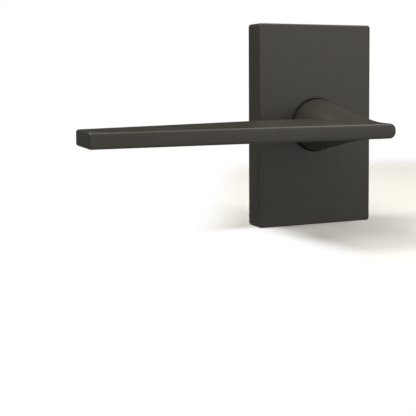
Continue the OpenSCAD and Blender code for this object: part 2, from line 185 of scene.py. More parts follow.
def steel(name, dark, light, rough, grain=(1, 1, 1), stain=None, metallic=1.0):
    """Bare or plated steel with a grain, which may run along one axis, and stained patches."""
    material, tree, surface = shader(name)
    where = place(tree)
    lines = noise(tree, place(tree, grain), 900, 4, 0.6)
    cloud = noise(tree, where, 90, 4, 0.6)
    colour = blend_colour(tree, cloud, dark, light)
    if stain:
        patches = noise(tree, where, 140, 5, 0.65, 0.45, 0.7)
        colour = blend_colour(tree, times(tree, patches, 0.45), colour, stain)
    scuffs = times(tree, edge_mask(tree), noise(tree, where, 600))
    colour = blend_colour(tree, times(tree, scuffs, 0.5), colour, STEEL_SCUFF)
    tree.links.new(colour, surface.inputs["Base Color"])
    tree.links.new(spread(tree, lines, 0, 1, rough - 0.07, rough + 0.07), surface.inputs["Roughness"])
    surface.inputs["Metallic"].default_value = metallic
    pits = noise(tree, where, 2600, 2, 0.5)
    add_bumps(tree, surface, [(lines, 0.00003, 0.35), (pits, 0.00002, 0.2)])
    return material


def acetal():
    """Moulded off-white plastic with a fine sparked texture."""
    material, tree, surface = shader("acetal")
    where = place(tree)
    cloud = noise(tree, where, 120, 3)
    spark = noise(tree, where, 2400, 2, 0.6)
    colour = blend_colour(tree, cloud, *ACETAL)
    grime = times(tree, noise(tree, where, 260, 4, 0.6, 0.55, 0.8), 0.35)
    colour = blend_colour(tree, grime, colour, ACETAL_GRIME)
    tree.links.new(colour, surface.inputs["Base Color"])
    tree.links.new(spread(tree, spark, 0, 1, 0.38, 0.5), surface.inputs["Roughness"])
    surface.inputs["Subsurface Weight"].default_value = 0.08
    surface.inputs["Subsurface Scale"].default_value = 0.001
    add_bumps(tree, surface, [(spark, 0.00003, 0.25)])
    return material


FINISHES = {
    "bronze_finish": bronze_finish(),
    "plated_steel": steel("plated_steel", (0.50, 0.51, 0.52), (0.61, 0.62, 0.63), 0.44,
                          grain=(1, 1, 0.12), stain=(0.56, 0.53, 0.42), metallic=0.75),
    "bright_steel": steel("bright_steel", (0.46, 0.47, 0.48), (0.56, 0.57, 0.58), 0.30,
                          grain=(1, 0.06, 1)),
    "hardened_steel": steel("hardened_steel", (0.24, 0.25, 0.26), (0.33, 0.34, 0.35), 0.42,
                            stain=(0.20, 0.20, 0.24)),
    "spring_steel": steel("spring_steel", (0.20, 0.21, 0.22), (0.27, 0.28, 0.30), 0.33,
                          stain=(0.16, 0.15, 0.19)),
    "black_oxide": steel("black_oxide", (0.022, 0.022, 0.024), (0.040, 0.040, 0.043), 0.40),
    "acetal": acetal(),
}
SLOT_OF = {part["node"]: part["material_slot"] for part in frame["record"]["subparts"]}
BODY_OF = {node: body for body, members in frame["record"]["behaviour"]["bodies"].items()
           for node in members}


# -------------------------------------------------------------- mesh building

# points closer than this, in metres, become one
WELD = 0.5e-6
COPY_WELD = 1e-6


def tidy_mesh(mesh):
    """Welds doubled points, drops faces with no area and turns every face outwards."""
    bm = bmesh.new()
    bm.from_mesh(mesh)
    bmesh.ops.remove_doubles(bm, verts=bm.verts, dist=WELD)
    bmesh.ops.dissolve_degenerate(bm, edges=bm.edges, dist=WELD)
    bmesh.ops.recalc_face_normals(bm, faces=bm.faces)
    bm.to_mesh(mesh)
    bm.free()
    mesh.validate()
    mesh.update()


def adopt(piece, node, smooth_angle):
    """Gives a piece its node's finish and body, and lets it stand for the node."""
    finish(piece, SLOT_OF[node], smooth_angle)
    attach(piece, BODY_OF[node])
    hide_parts(node)
    return piece


def finish(piece, slot, smooth_angle):
    """Assigns a finish, and shades smooth except across sharp edges."""
    mesh = piece.data
    mesh.materials.clear()
    mesh.materials.append(FINISHES[slot])
    for polygon in mesh.polygons:
        polygon.material_index = 0
    mesh.shade_smooth()
    mesh.set_sharp_from_angle(angle=math.radians(smooth_angle))


def apply_modifiers(piece):
    """Bakes a piece's modifiers into its mesh."""
    bpy.context.view_layer.update()
    graph = bpy.context.evaluated_depsgraph_get()
    mesh = bpy.data.meshes.new_from_object(piece.evaluated_get(graph))
    old = piece.data
    piece.modifiers.clear()
    piece.data = mesh
    bpy.data.meshes.remove(old)


def cut(piece, cutters, operation="DIFFERENCE"):
    """Cuts other meshes out of a piece, or joins them to it, and removes them."""
    for cutter in cutters:
        modifier = piece.modifiers.new("cut", "BOOLEAN")
        modifier.operation = operation
        modifier.solver = "EXACT"
        modifier.object = cutter
        apply_modifiers(piece)
        bpy.data.meshes.remove(cutter.data)


def solid(name, points, faces):
    """A new mesh object, whose points are given in millimetres."""
    mesh = bpy.data.meshes.new(name)
    mesh.from_pydata([tuple(float(c) * MM for c in p) for p in points], [], faces)
    tidy_mesh(mesh)
    made = bpy.data.objects.new(name, mesh)
    bpy.context.collection.objects.link(made)
    return made


def band(first, second, size):
    """Faces between two rings of points, which start at the given numbers."""
    faces = []
    for i in range(size):
        n = (i + 1) % size
        faces.append((first + i, first + n, second + n, second + i))
    return faces


def loft(rings, close_ends=True):
    """Points and faces of a tube through equal rings, with each end closed by one face or open."""
    size = len(rings[0])
    points = [p for ring in rings for p in ring]
    faces = []
    for j in range(len(rings) - 1):
        faces += band(j * size, (j + 1) * size, size)
    if close_ends:
        last = (len(rings) - 1) * size
        faces.append(tuple(range(size))[::-1])
        faces.append(tuple(last + i for i in range(size)))
    return points, faces


def circle(radius, sides):
    """Points (u, v) round a circle."""
    angles = [2 * math.pi * i / sides for i in range(sides)]
    return [(radius * math.cos(angle), radius * math.sin(angle)) for angle in angles]


def rod_along_z(radius, z0, z1, y, sides=48):
    """A cylinder along Z, for cutting."""
    rings = [[(u, y + v, z) for u, v in circle(radius, sides)] for z in (z0, z1)]
    return solid("rod", *loft(rings))


def block(x0, x1, y0, y1, z0, z1):
    """A box, for joining."""
    points = [(x, y, z) for z in (z0, z1) for y in (y0, y1) for x in (x0, x1)]
    faces = [(0, 2, 3, 1), (4, 5, 7, 6), (0, 1, 5, 4), (2, 6, 7, 3), (0, 4, 6, 2), (1, 3, 7, 5)]
    return solid("block", points, faces)


# ------------------------------------------------------------------ the lever
# The lever is a loft of sections across Y: a flat blade with rounded edges, which a round
# neck grows out of. The names below that aren't read from the frame are the design's sizes,
# in millimetres.

lever_low, lever_high = node_box("lever")
cover_low, cover_high = node_box("rosette_cover")
TIP_X = lever_low[0]
FRONT_Y = lever_low[1]
NECK_R = lever_high[2]
JOURNAL_END_Y = lever_high[1]
COVER_FRONT_Y = cover_low[1]
# the blade: half its thickness, its depth at the tip, its edges, and the slanted edge behind
BLADE_HALF = 3.4
TIP_DEPTH = 23.0
HEEL_X = 9.4
EDGE_R = 1.1
HEEL_R = 3.0
NECK_Y = COVER_FRONT_Y - 2.5
STUB_END_Y = COVER_FRONT_Y - 0.7
BACK_CORNER_Y = FRONT_Y + TIP_DEPTH
BACK_EDGE_END_X = -20.0
BACK_EDGE_SLOPE = (BACK_EDGE_END_X - TIP_X) / (NECK_Y - BACK_CORNER_Y)
CORNER_BLEND = 3.0
# the neck, as it flattens towards the front, and its crease with the blade
NECK_END_HALF_W = 8.0
NECK_TAPER = 1.55
HEEL_TAPER = 1.7
NECK_POWER = 2.3
CREASE_BLEND = 1.6
# the turned end and the grub screw's hole
BORE_R = 7.53
BORE_BOTTOM_Y = -30.0
NECK_END_Y = -11.2
JOURNAL_R = 10.0
LATHE_CHAMFER = 0.3
NECK_CHAMFER = 0.4
GRUB_Y = -21.0
GRUB_R = 2.03
EDGE_STEPS, FLAT_STEPS, NECK_STEPS = 10, 10, 60
FRONT_RINGS, TIP_RINGS, CORNER_RINGS, ARM_RINGS, STUB_RINGS = 8, 15, 24, 39, 9


def soft_max(a, b, k):
    """The larger of two values, with the step between them rounded over k."""
    h = max(k - abs(a - b), 0.0) / k
    return max(a, b) + h * h * k / 4


def neck_part(y):
    """0 at the rosette and 1 at the lever's front."""
    return min(max((NECK_Y - y) / (NECK_Y - FRONT_Y), 0.0), 1.0)


def left_x(y):
    """The lever's left edge: the tip's flat end, and behind it the slanted back edge."""
    return soft_max(TIP_X, TIP_X + (y - BACK_CORNER_Y) * BACK_EDGE_SLOPE, CORNER_BLEND)


def right_x(y):
    """The lever's right edge, which curves in from the neck to the heel."""
    return NECK_R - (NECK_R - HEEL_X) * neck_part(y) ** HEEL_TAPER


def left_round(y):
    """How far the left edge's rounding reaches along X where the edge is slanted."""
    slope = (left_x(y + 0.01) - left_x(y - 0.01)) / 0.02
    return EDGE_R * math.sqrt(1 + slope * slope)


def neck_half_w(y):
    """Half the neck's width along X."""
    return NECK_R - (NECK_R - NECK_END_HALF_W) * neck_part(y)


def neck_half_h(y):
    """Half the neck's height along Z."""
    return BLADE_HALF + (NECK_R - BLADE_HALF) * (1 - neck_part(y)) ** NECK_TAPER


def edge_drop(d, width, radius):
    """How far a rounded edge lies below its face, at distance d from the edge."""
    if d >= width:
        return 0.0
    return radius - radius * math.sqrt(max(0.0, 1 - (1 - d / width) ** 2))


def blade_top(x, y):
    """The height of the blade's upper side."""
    return (BLADE_HALF - edge_drop(x - left_x(y), left_round(y), EDGE_R)
            - edge_drop(right_x(y) - x, HEEL_R, HEEL_R))


def neck_top(x, y):
    """The height of the neck's upper side: an ellipse that grows squarer towards the front."""
    s = (x - right_x(y)) / neck_half_w(y) + 1
    p = 2 + (NECK_POWER - 2) * neck_part(y)
    return 0.0 if abs(s) >= 1 else neck_half_h(y) * (1 - abs(s) ** p) ** (1 / p)


def top_z(x, y):
    """The height of the lever's upper side, with a softer crease nearer the rosette."""
    return soft_max(blade_top(x, y), neck_top(x, y), CREASE_BLEND * (1.02 - neck_part(y)))


def crease_angle(y):
    """The angle round the neck at which it rises out of the blade's face."""
    return math.asin(min(1.0, BLADE_HALF / neck_half_h(y))) * 0.82


def lever_upper(y):
    """The upper line of the lever's section at depth y, from the left to the right."""
    x0, width, start = left_x(y), left_round(y), crease_angle(y)
    neck_x = right_x(y) - neck_half_w(y) * (1 + math.cos(start))
    flat_x = min(x0 + width, neck_x - 0.5)
    xs = [x0 + (flat_x - x0) * (1 - math.cos(math.pi / 2 * i / EDGE_STEPS))
          for i in range(EDGE_STEPS + 1)]
    # the steps shorten towards the neck, so that the crease there shades crisply
    xs += [neck_x - (neck_x - flat_x) * (1 - i / FLAT_STEPS) ** 2.4
           for i in range(1, FLAT_STEPS + 1)]
    for i in range(1, NECK_STEPS + 1):
        angle = start + (math.pi - start) * i / NECK_STEPS
        xs.append(right_x(y) - neck_half_w(y) * (1 + math.cos(angle)))
    inset = edge_drop(y - FRONT_Y, EDGE_R, EDGE_R)
    squeeze = (xs[-1] - xs[0] - 2 * inset) / (xs[-1] - xs[0])
    return [(xs[0] + inset + (x - xs[0]) * squeeze, max(0.15, top_z(x, y) - inset)) for x in xs]


def arc_upper(radius):
    """The upper half of a circle, with as many points as a section of the lever."""
    start = crease_angle(NECK_Y)
    left = EDGE_STEPS + FLAT_STEPS
    gap = 0.04
    angles = [start * (gap + (1 - gap) * i / left) for i in range(left + 1)]
    angles += [start + (math.pi - start) * i / NECK_STEPS for i in range(1, NECK_STEPS)]
    angles.append(math.pi - gap * start)
    return [(-radius * math.cos(a), radius * math.sin(a)) for a in angles]


def ring_of(upper, y):
    """A closed ring at depth y from its upper line and that line mirrored."""
    return [(x, y, z) for x, z in upper] + [(x, y, -z) for x, z in reversed(upper)]


def lever_depths():
    """The depths of the blade's and neck's sections, closer together at the front and the corner."""
    depths = [FRONT_Y + EDGE_R * (1 - math.cos(math.pi / 2 * i / FRONT_RINGS))
              for i in range(FRONT_RINGS + 1)]
    corner_start, corner_end = BACK_CORNER_Y - CORNER_BLEND, BACK_CORNER_Y + CORNER_BLEND
    for start, end, count in ((FRONT_Y + EDGE_R, corner_start, TIP_RINGS),
                              (corner_start, corner_end, CORNER_RINGS),
                              (corner_end, NECK_Y, ARM_RINGS)):
        depths += list(np.linspace(start, end, count + 1)[1:])
    return depths


def lever_rings():
    """Every ring of the lever, from its front face to the bottom of the bore."""
    rings = [ring_of(lever_upper(y), y) for y in lever_depths()]
    # the back end of the blade draws in to the round neck
    stub, arc = lever_upper(NECK_Y), arc_upper(NECK_R)
    for i in range(1, STUB_RINGS + 1):
        part = math.sin(math.pi / 2 * i / STUB_RINGS)
        keep = math.sqrt(max(0.0, 1 - part * part))
        upper = [(a[0] + (s[0] - a[0]) * keep, a[1] + (s[1] - a[1]) * keep)
                 for s, a in zip(stub, arc)]
        rings.append(ring_of(upper, NECK_Y + (STUB_END_Y - NECK_Y) * part))
    # the turned end: the neck's shoulder, the journal behind it and the bore inside
    chamfer = LATHE_CHAMFER
    turned = [
        (NECK_R, NECK_END_Y - NECK_CHAMFER),
        (NECK_R - NECK_CHAMFER * 0.3, NECK_END_Y - NECK_CHAMFER * 0.3),
        (NECK_R - NECK_CHAMFER, NECK_END_Y),
        (JOURNAL_R + chamfer, NECK_END_Y), (JOURNAL_R, NECK_END_Y + chamfer),
        (JOURNAL_R, JOURNAL_END_Y - chamfer), (JOURNAL_R - chamfer, JOURNAL_END_Y),
        (BORE_R + chamfer, JOURNAL_END_Y), (BORE_R, JOURNAL_END_Y - chamfer),
        (BORE_R, BORE_BOTTOM_Y),
    ]
    return rings + [ring_of(arc_upper(r), y) for r, y in turned]


def make_lever():
    """The lever's casting, with the grub screw's hole in the underside of its neck."""
    rings = lever_rings()
    size = len(rings[0])
    points, faces = loft(rings, close_ends=False)
    half = size // 2
    # each end is closed by a strip between its upper and lower points
    for base, flip in ((0, True), ((len(rings) - 1) * size, False)):
        for i in range(half - 1):
            quad = (base + i, base + i + 1, base + size - 2 - i, base + size - 1 - i)
            faces.append(quad[::-1] if flip else quad)
    body = solid("lever_casting", points, faces)
    cut(body, [rod_along_z(GRUB_R, -NECK_R - 3, -BORE_R + 3, GRUB_Y)])
    tidy_mesh(body.data)
    return adopt(body, "lever", 35)


# ---------------------------------------------------------------- the rosette

COVER_HALF_W, COVER_HALF_H = cover_high[0], cover_high[2]
COVER_WALL = 2.3
COVER_CORNER = 1.4
COVER_EDGE = 0.8
INNER_CORNER = 0.6
INNER_Y = COVER_FRONT_Y + COVER_WALL
RIM_CHAMFER = 0.15
HOLE_R = NECK_R + 0.4
HOLE_LIP = 0.2
OUTLINE_STEPS, CORNER_STEPS, EDGE_RINGS, LIP_RINGS = 24, 8, 6, 4
LEDGE_HALF_W = 7.0
LEDGE_Y = -10.1, -8.9
LEDGE_REACH = 4.2
BOSS_HALF_W = 3.5
BOSS_DEPTH = 7.4
BOSS_REACH = 4.0
BOSS_HOLE_R = 1.53
BOSS_HOLE_Y = -5.5


def cover_ring(inset, corner, y):
    """A ring inset from the cover's outline, a rectangle with round corners."""
    half_w, half_h = COVER_HALF_W - inset, COVER_HALF_H - inset
    ring = []
    for quarter in range(4):
        turn = math.pi / 2 * quarter
        cx = (half_w - corner) * (1 if quarter in (0, 3) else -1)
        cz = (half_h - corner) * (1 if quarter in (0, 1) else -1)
        for i in range(CORNER_STEPS + 1):
            angle = turn + math.pi / 2 * i / CORNER_STEPS
            ring.append((cx + corner * math.cos(angle), y, cz + corner * math.sin(angle)))
        # the straight side between this corner and the next
        x, _, z = ring[-1]
        end_x, end_z = (-cx, z) if quarter in (0, 2) else (x, -cz)
        for i in range(1, OUTLINE_STEPS):
            part = i / OUTLINE_STEPS
            ring.append((x + (end_x - x) * part, y, z + (end_z - z) * part))
    return ring


def hole_ring(outline, radius, y):
    """A circle whose points lie in the same directions as an outline's."""
    ring = []
    for x, _, z in outline:
        angle = math.atan2(z, x)
        ring.append((radius * math.cos(angle), y, radius * math.sin(angle)))
    return ring


def cover_outside():
    """The cover's rings from its back rim, over the rounded front edge, to the hole's lip."""
    outline = cover_ring(0, COVER_CORNER, 0)
    rings = [cover_ring(RIM_CHAMFER, COVER_CORNER - 0.1, 0),
             cover_ring(0, COVER_CORNER, -RIM_CHAMFER),
             cover_ring(0, COVER_CORNER, COVER_FRONT_Y + COVER_EDGE)]
    for i in range(1, EDGE_RINGS + 1):
        angle = math.pi / 2 * i / EDGE_RINGS
        inset = COVER_EDGE * (1 - math.cos(angle))
        rings.append(cover_ring(inset, COVER_CORNER - inset * 0.7,
                                COVER_FRONT_Y + COVER_EDGE * (1 - math.sin(angle))))
    edge, hole = rings[-1], hole_ring(outline, HOLE_R + HOLE_LIP, COVER_FRONT_Y)
    for part in (0.02, 0.35, 0.7, 0.96):
        rings.append([tuple(a + (b - a) * part for a, b in zip(p, q)) for p, q in zip(edge, hole)])
    for i in range(LIP_RINGS + 1):
        angle = math.pi / 2 * i / LIP_RINGS
        rings.append(hole_ring(outline, HOLE_R + HOLE_LIP * (1 - math.sin(angle)),
                               COVER_FRONT_Y + HOLE_LIP * (1 - math.cos(angle))))
    rings.append(hole_ring(outline, HOLE_R, INNER_Y))
    return rings


def cover_inside():
    """The cover's rings from the back of its front wall to its back rim."""
    return [cover_ring(COVER_WALL + inset, corner, y) for inset, corner, y in (
        (INNER_CORNER, 0.4, INNER_Y), (0.17, 0.5, INNER_Y + 0.17),
        (0, INNER_CORNER, INNER_Y + INNER_CORNER), (0, INNER_CORNER, -RIM_CHAMFER),
        (-RIM_CHAMFER, INNER_CORNER + RIM_CHAMFER, 0),
    )]


def make_cover():
    """The cover's shell, with a ledge that hooks at its top and a grub screw's boss at its bottom."""
    rings = cover_outside() + cover_inside()
    points, faces = loft(rings, close_ends=False)
    size = len(rings[0])
    faces += band((len(rings) - 1) * size, 0, size)
    body = solid("rosette_shell", points, faces)
    # both reach a little way into the wall that they grow from
    wall_z = COVER_HALF_H - COVER_WALL + 0.2
    ledge = block(-LEDGE_HALF_W, LEDGE_HALF_W, *LEDGE_Y, COVER_HALF_H - LEDGE_REACH, wall_z)
    cut(body, [ledge], "UNION")
    boss = block(-BOSS_HALF_W, BOSS_HALF_W, INNER_Y - 0.2, INNER_Y + BOSS_DEPTH,
                 -wall_z, -COVER_HALF_H + BOSS_REACH)
    cut(body, [boss], "UNION")
    cut(body, [rod_along_z(BOSS_HOLE_R, -COVER_HALF_H - 2, -COVER_HALF_H + 6.5, BOSS_HOLE_Y)])
    tidy_mesh(body.data)
    return adopt(body, "rosette_cover", 35)


# --------------------------------------------------------------- the hardware

# each of these nodes is copied, with its sharp edges rounded by a width in millimetres
SOFT_WIDTHS = {
    "mounting_plate": 0.2, "centring_ring": 0.25, "spindle": 0.15, "drive_sleeve": 0.15,
    "retaining_ring": 0.1, "thrust_washer": 0.08, "rear_bushing": 0.15, "spring_washer": 0.05,
    "lever_grub_screw": 0.1, "cover_grub_screw": 0.08, "bolt_washers": 0.08,
    "spring_housing": 0.15, "housing_rivets": 0.05, "front_bushing": 0.1, "drive_cam": 0.12,
}


def weigh_normals(piece):
    """Keeps large flat faces evenly shaded beside their rounded edges."""
    weighted = piece.modifiers.new("even", "WEIGHTED_NORMAL")
    weighted.mode = "FACE_AREA"
    weighted.weight = 100
    weighted.keep_sharp = True
    apply_modifiers(piece)


def softened(node, width):
    """A copy of a CAD node with its sharp edges rounded."""
    mesh = NODES[node].data.copy()
    mesh.name = node + "_finished"
    piece = bpy.data.objects.new(node + "_finished", mesh)
    bpy.context.collection.objects.link(piece)
    bm = bmesh.new()
    bm.from_mesh(mesh)
    bmesh.ops.remove_doubles(bm, verts=bm.verts, dist=COPY_WELD)
    bmesh.ops.dissolve_limit(bm, angle_limit=math.radians(0.6), verts=bm.verts, edges=bm.edges)
    bm.to_mesh(mesh)
    bm.free()
    bevel = piece.modifiers.new("soften", "BEVEL")
    bevel.width = width * MM
    bevel.segments = 2
    bevel.limit_method = "ANGLE"
    bevel.angle_limit = math.radians(30)
    bevel.use_clamp_overlap = True
    apply_modifiers(piece)
    adopt(piece, node, 40)
    weigh_normals(piece)
    return piece


SCREW_SIDES = 36
BOLT_Z = 20.65
BOLT_TOP_Y, BOLT_HEAD_BACK_Y = -5.6, -2.8
BOLT_HEAD_R = 3.9
BOLT_DOME_R, BOLT_DOME_REACH, DOME_STEPS = 6.0, 3.72, 8
BOLT_SHOULDER_R = 2.5
BOLT_R = 2.0
BOLT_THREAD_Y, BOLT_END_Y = 4.0, 44.0
# each cross is its reach, half its width and its depth
BOLT_CROSS = (2.1, 0.42, 1.3)
# each crest lists the thread's height over one pitch, from 0 at its root to 1
BOLT_CREST = (1, 1, 0.78, 0.5, 0.22, 0, 0, 0.22, 0.5, 0.78)
PLATE_SCREW_Z = 40.0
PLATE_SCREW_TOP_Y = -2.0
PLATE_SCREW_R = 1.9
PLATE_THREAD_Y = 2.0
PLATE_CROSS = (1.9, 0.38, 1.2)
# (radius, y) from the end of the even thread to the point
PLATE_POINT = ((1.9, 12.0), (1.62, 13.0), (1.2, 14.2), (0.75, 15.2), (0.3, 16.0))
PLATE_CREST = (1, 0.86, 0.45, 0.16, 0, 0, 0, 0.16, 0.45, 0.86)
# a profile starts at this radius, because a ring can't have none
CENTRE_R = 0.02


def thread_rings(envelope, start, end, pitch, depth, crest, sides):
    """A helical thread cut into a turned shape, as a grid whose rows follow the helix."""
    rows = len(crest)
    count = int(math.ceil((end - start) / pitch + 2)) * rows
    grid = []
    for m in range(count + 1):
        row = []
        for i in range(sides):
            y = start - pitch + (m + rows * i / sides) * pitch / rows
            y = min(max(y, start), end)
            fade = min(1.0, (y - start) / pitch, (end - y) / (0.5 * pitch))
            radius = envelope(y) - depth * (1 - crest[m % rows]) * max(0.0, fade)
            angle = 2 * math.pi * i / sides
            row.append((radius * math.cos(angle), y, radius * math.sin(angle)))
        grid.append(row)
    return grid


def screw_mesh(profile, start, pitch, depth, crest):
    """Points and faces of a screw along Y. The profile is (radius, y) from head to point."""
    sides = SCREW_SIDES
    ys = [y for _, y in profile]
    rs = [r for r, _ in profile]
    end = ys[-1]
    shank = [k for k, y in enumerate(ys) if y >= start][0]

    def envelope(y):
        return float(np.interp(y, ys[shank - 1:], rs[shank - 1:]))

    turned = profile[:shank] + [(envelope(start), start)]
    head = [[(u, y, v) for u, v in circle(r, sides)] for r, y in turned]
    grid = thread_rings(envelope, start, end, pitch, depth, crest, sides)
    rows = len(crest)
    points = [p for ring in head + grid for p in ring]
    faces = [tuple(range(sides))]
    for j in range(len(head) - 1):
        faces += band(j * sides, (j + 1) * sides, sides)
    # the thread's rows climb by one pitch in a turn, so each row ends on a later one
    base = len(head) * sides
    for m in range(len(grid) - 1):
        for i in range(sides):
            a, b = base + m * sides + i, base + (m + 1) * sides + i
            if i < sides - 1:
                faces.append((a, a + 1, b + 1, b))
            elif m + rows + 1 < len(grid):
                c = base + (m + rows) * sides
                faces.append((a, c, c + sides, b))
    last = base + (len(grid) - 1) * sides
    faces.append(tuple(last + i for i in range(sides)))
    return points, faces


def cross_slot(y, z, reach, half, depth):
    """Two wedges that cut a cross recess into a head whose top is at y."""
    cutters = []
    for turned in (False, True):
        top, low = (reach, half * 1.25), (reach * 0.42, half * 0.8)
        corners = []
        for (a, b), corner_y in ((top, y - 0.4), (low, y + depth)):
            for u, v in ((-a, -b), (a, -b), (a, b), (-a, b)):
                corners.append((v if turned else u, corner_y, z + (u if turned else v)))
        faces = [(0, 1, 2, 3), (7, 6, 5, 4), (0, 4, 5, 1), (1, 5, 6, 2), (2, 6, 7, 3), (3, 7, 4, 0)]
        cutters.append(solid("cross", corners, faces))
    return cutters


def twin_screws(name, node, z, mesh, cross):
    """Two equal screws at z above and below the spindle, with a cross recess in each head."""
    points, faces = mesh
    both = [(x, y, v + side * z) for side in (-1, 1) for x, y, v in points]
    faces = faces + [tuple(i + len(points) for i in face) for face in faces]
    body = solid(name, both, faces)
    top = min(p[1] for p in points)
    for side in (-1, 1):
        cut(body, cross_slot(top, side * z, *cross))
    tidy_mesh(body.data)
    return adopt(body, node, 32)


def make_through_bolts():
    """M4 machine screws with a low domed head and a plain shoulder."""
    dome = []
    for i in range(DOME_STEPS + 1):
        r = BOLT_DOME_REACH * math.sin(math.pi / 2 * i / DOME_STEPS)
        y = BOLT_TOP_Y + BOLT_DOME_R - math.sqrt(BOLT_DOME_R ** 2 - r * r)
        dome.append((max(r, CENTRE_R), y))
    rim_y, back_y = dome[-1][1], BOLT_HEAD_BACK_Y
    profile = dome + [
        (BOLT_HEAD_R - 0.06, rim_y + 0.1), (BOLT_HEAD_R, rim_y + 0.3), (BOLT_HEAD_R, back_y - 0.2),
        (BOLT_HEAD_R - 0.1, back_y - 0.03), (BOLT_HEAD_R - 0.3, back_y),
        (BOLT_SHOULDER_R, back_y), (BOLT_SHOULDER_R, -0.1), (BOLT_SHOULDER_R - 0.2, 0.1),
        (BOLT_R, 0.12), (BOLT_R, BOLT_THREAD_Y - 0.1), (BOLT_R, BOLT_THREAD_Y),
        (BOLT_R, BOLT_END_Y - 1), (BOLT_R - 0.6, BOLT_END_Y),
    ]
    mesh = screw_mesh(profile, BOLT_THREAD_Y, pitch=0.7, depth=0.40, crest=BOLT_CREST)
    return twin_screws("through_bolts_m4", "through_bolts", BOLT_Z, mesh, BOLT_CROSS)


def make_plate_screws():
    """Countersunk wood screws with a coarse thread and a sharp point."""
    top_y, shank_r = PLATE_SCREW_TOP_Y, PLATE_SCREW_R
    profile = [
        (CENTRE_R, top_y), (3.4, top_y), (3.66, top_y + 0.03), (3.76, top_y + 0.14),
        (shank_r + 0.2, -0.1), (shank_r, 0.15), (shank_r, PLATE_THREAD_Y - 0.1),
        (shank_r, PLATE_THREAD_Y), *PLATE_POINT,
    ]
    mesh = screw_mesh(profile, PLATE_THREAD_Y, pitch=1.35, depth=0.62, crest=PLATE_CREST)
    return twin_screws("plate_screws_threaded", "plate_screws", PLATE_SCREW_Z, mesh, PLATE_CROSS)


WIRE_R = 0.7
WIRE_SIDES = 16
COIL_R = 12.45
COIL_PITCH = 1.55
COIL_TURNS = 2
COIL_STEPS = 104
COIL_FRONT_Y = -7.6
LEG_END_X, LEG_X = 18.4, 16.0
LEG_Z = 2.8
LEG_BEND = 1.1
BEND_STEPS = 6
# the part of the coil that each leg's bend takes up
BEND_PART = 0.012


def bend_through(first, corner, last):
    """Points of a quadratic curve from first to last that bends towards a corner."""
    curve = []
    for i in range(BEND_STEPS + 1):
        t = i / BEND_STEPS
        curve.append(first * (1 - t) ** 2 + corner * 2 * t * (1 - t) + last * t * t)
    return curve


def spring_path():
    """The middle of the spring's wire: a leg, two turns less the gap between the legs, and a leg."""
    start = math.asin(LEG_Z / COIL_R)
    sweep = 2 * math.pi * COIL_TURNS - 2 * start

    def on_coil(part):
        angle = start + sweep * part
        return Vector((COIL_R * math.cos(angle), COIL_FRONT_Y + COIL_PITCH * COIL_TURNS * part,
                       COIL_R * math.sin(angle)))

    def leg(corner, z):
        return [Vector((x, corner.y, z)) for x in (LEG_END_X, LEG_END_X - 0.1, LEG_X)]

    near, far = on_coil(0), on_coil(1)
    away = Vector((LEG_BEND, 0, 0))
    path = leg(near, LEG_Z) + bend_through(near + away, near, on_coil(BEND_PART))
    path += [on_coil(BEND_PART + (1 - 2 * BEND_PART) * i / COIL_STEPS) for i in range(1, COIL_STEPS)]
    path += bend_through(on_coil(1 - BEND_PART), far, far + away)
    return path + leg(far, -LEG_Z)[::-1]


def make_return_spring():
    """A torsion spring of round wire, with a bend from its coil into each leg."""
    path = spring_path()
    rings = []
    for i, at in enumerate(path):
        along = (path[min(i + 1, len(path) - 1)] - path[max(i - 1, 0)]).normalized()
        side = along.cross(Vector((0, 1, 0))).normalized()
        up = side.cross(along)
        radius = WIRE_R - 0.1 if i in (0, len(path) - 1) else WIRE_R
        rings.append([at + side * u + up * v for u, v in circle(radius, WIRE_SIDES)])
    return adopt(solid("return_spring_wire", *loft(rings)), "return_spring", 50)


make_lever()
make_cover()
make_through_bolts()
make_plate_screws()
make_return_spring()
for soft_node, soft_width in SOFT_WIDTHS.items():
    softened(soft_node, soft_width)


# ------------------------------------------------------------------ the stage

WHITE, WARM = (1.0, 1.0, 1.0), (1.0, 0.99, 0.97)
# axis, direction and strength of each side's glow
WORLD_GLOW = (("Y", -1, 0.37), ("Z", -1, 0.36), ("X", -1, 0.165), ("Y", 1, 0.025))
# name, azimuth, elevation, distance, size and power; azimuth 0 is in front of the rosette.
# Angles are in degrees, lengths in millimetres and powers in watts.
SOFTBOXES = (
    ("front_right", 35, 12, 800, 500, 0.76), ("left_high", -75, 45, 800, 500, 1.75),
    ("overhead", 0, 88, 700, 600, 0.62), ("front_high", -20, 50, 450, 300, 0.6),
    ("right_high", 60, 45, 800, 500, 1.8), ("left_back_high", -118, 60, 700, 320, 2.6),
    ("front_low", 0, 5, 800, 500, 0.27), ("edge_light", 96, 62, 700, 300, 1.1),
)
LIGHT_TARGET = (0, -30, 0)
FLOOR_COLOURS = (0.835, 0.808, 0.755), (0.855, 0.828, 0.775)
FLOOR_X, FLOOR_Y = (-400, 560), (-300, 420)
# the floor fades out towards the edge of an oval
OVAL_CENTRE = (100, 39)
OVAL_RADII = (400, 260)
# each slanted fade: how much of Y is added to X, and where the sum gives 0 and 1
SIDE_FADE = (-0.45, -64, -34)
SWEEP_FADE = (0.15, -17, -41)
SWEEP_FRONT_FADE = (0, -16)
# the camera's turns are in radians
CAMERA_PLACE = (-205.9, -393.5, 25.2)
CAMERA_YAW, CAMERA_PITCH, CAMERA_ROLL = 0.4016, 0.0583, -0.0036
CAMERA_LENS, CAMERA_SHIFT = 73.56, (-0.0673, -0.1995)


def smooth_step(tree, value, zero_at, one_at):
    """A smooth rise from 0 to 1 between two values, of which either may be the larger."""
    if zero_at < one_at:
        return spread(tree, value, zero_at, one_at, 0.0, 1.0, "SMOOTHSTEP")
    return spread(tree, value, one_at, zero_at, 1.0, 0.0, "SMOOTHSTEP")


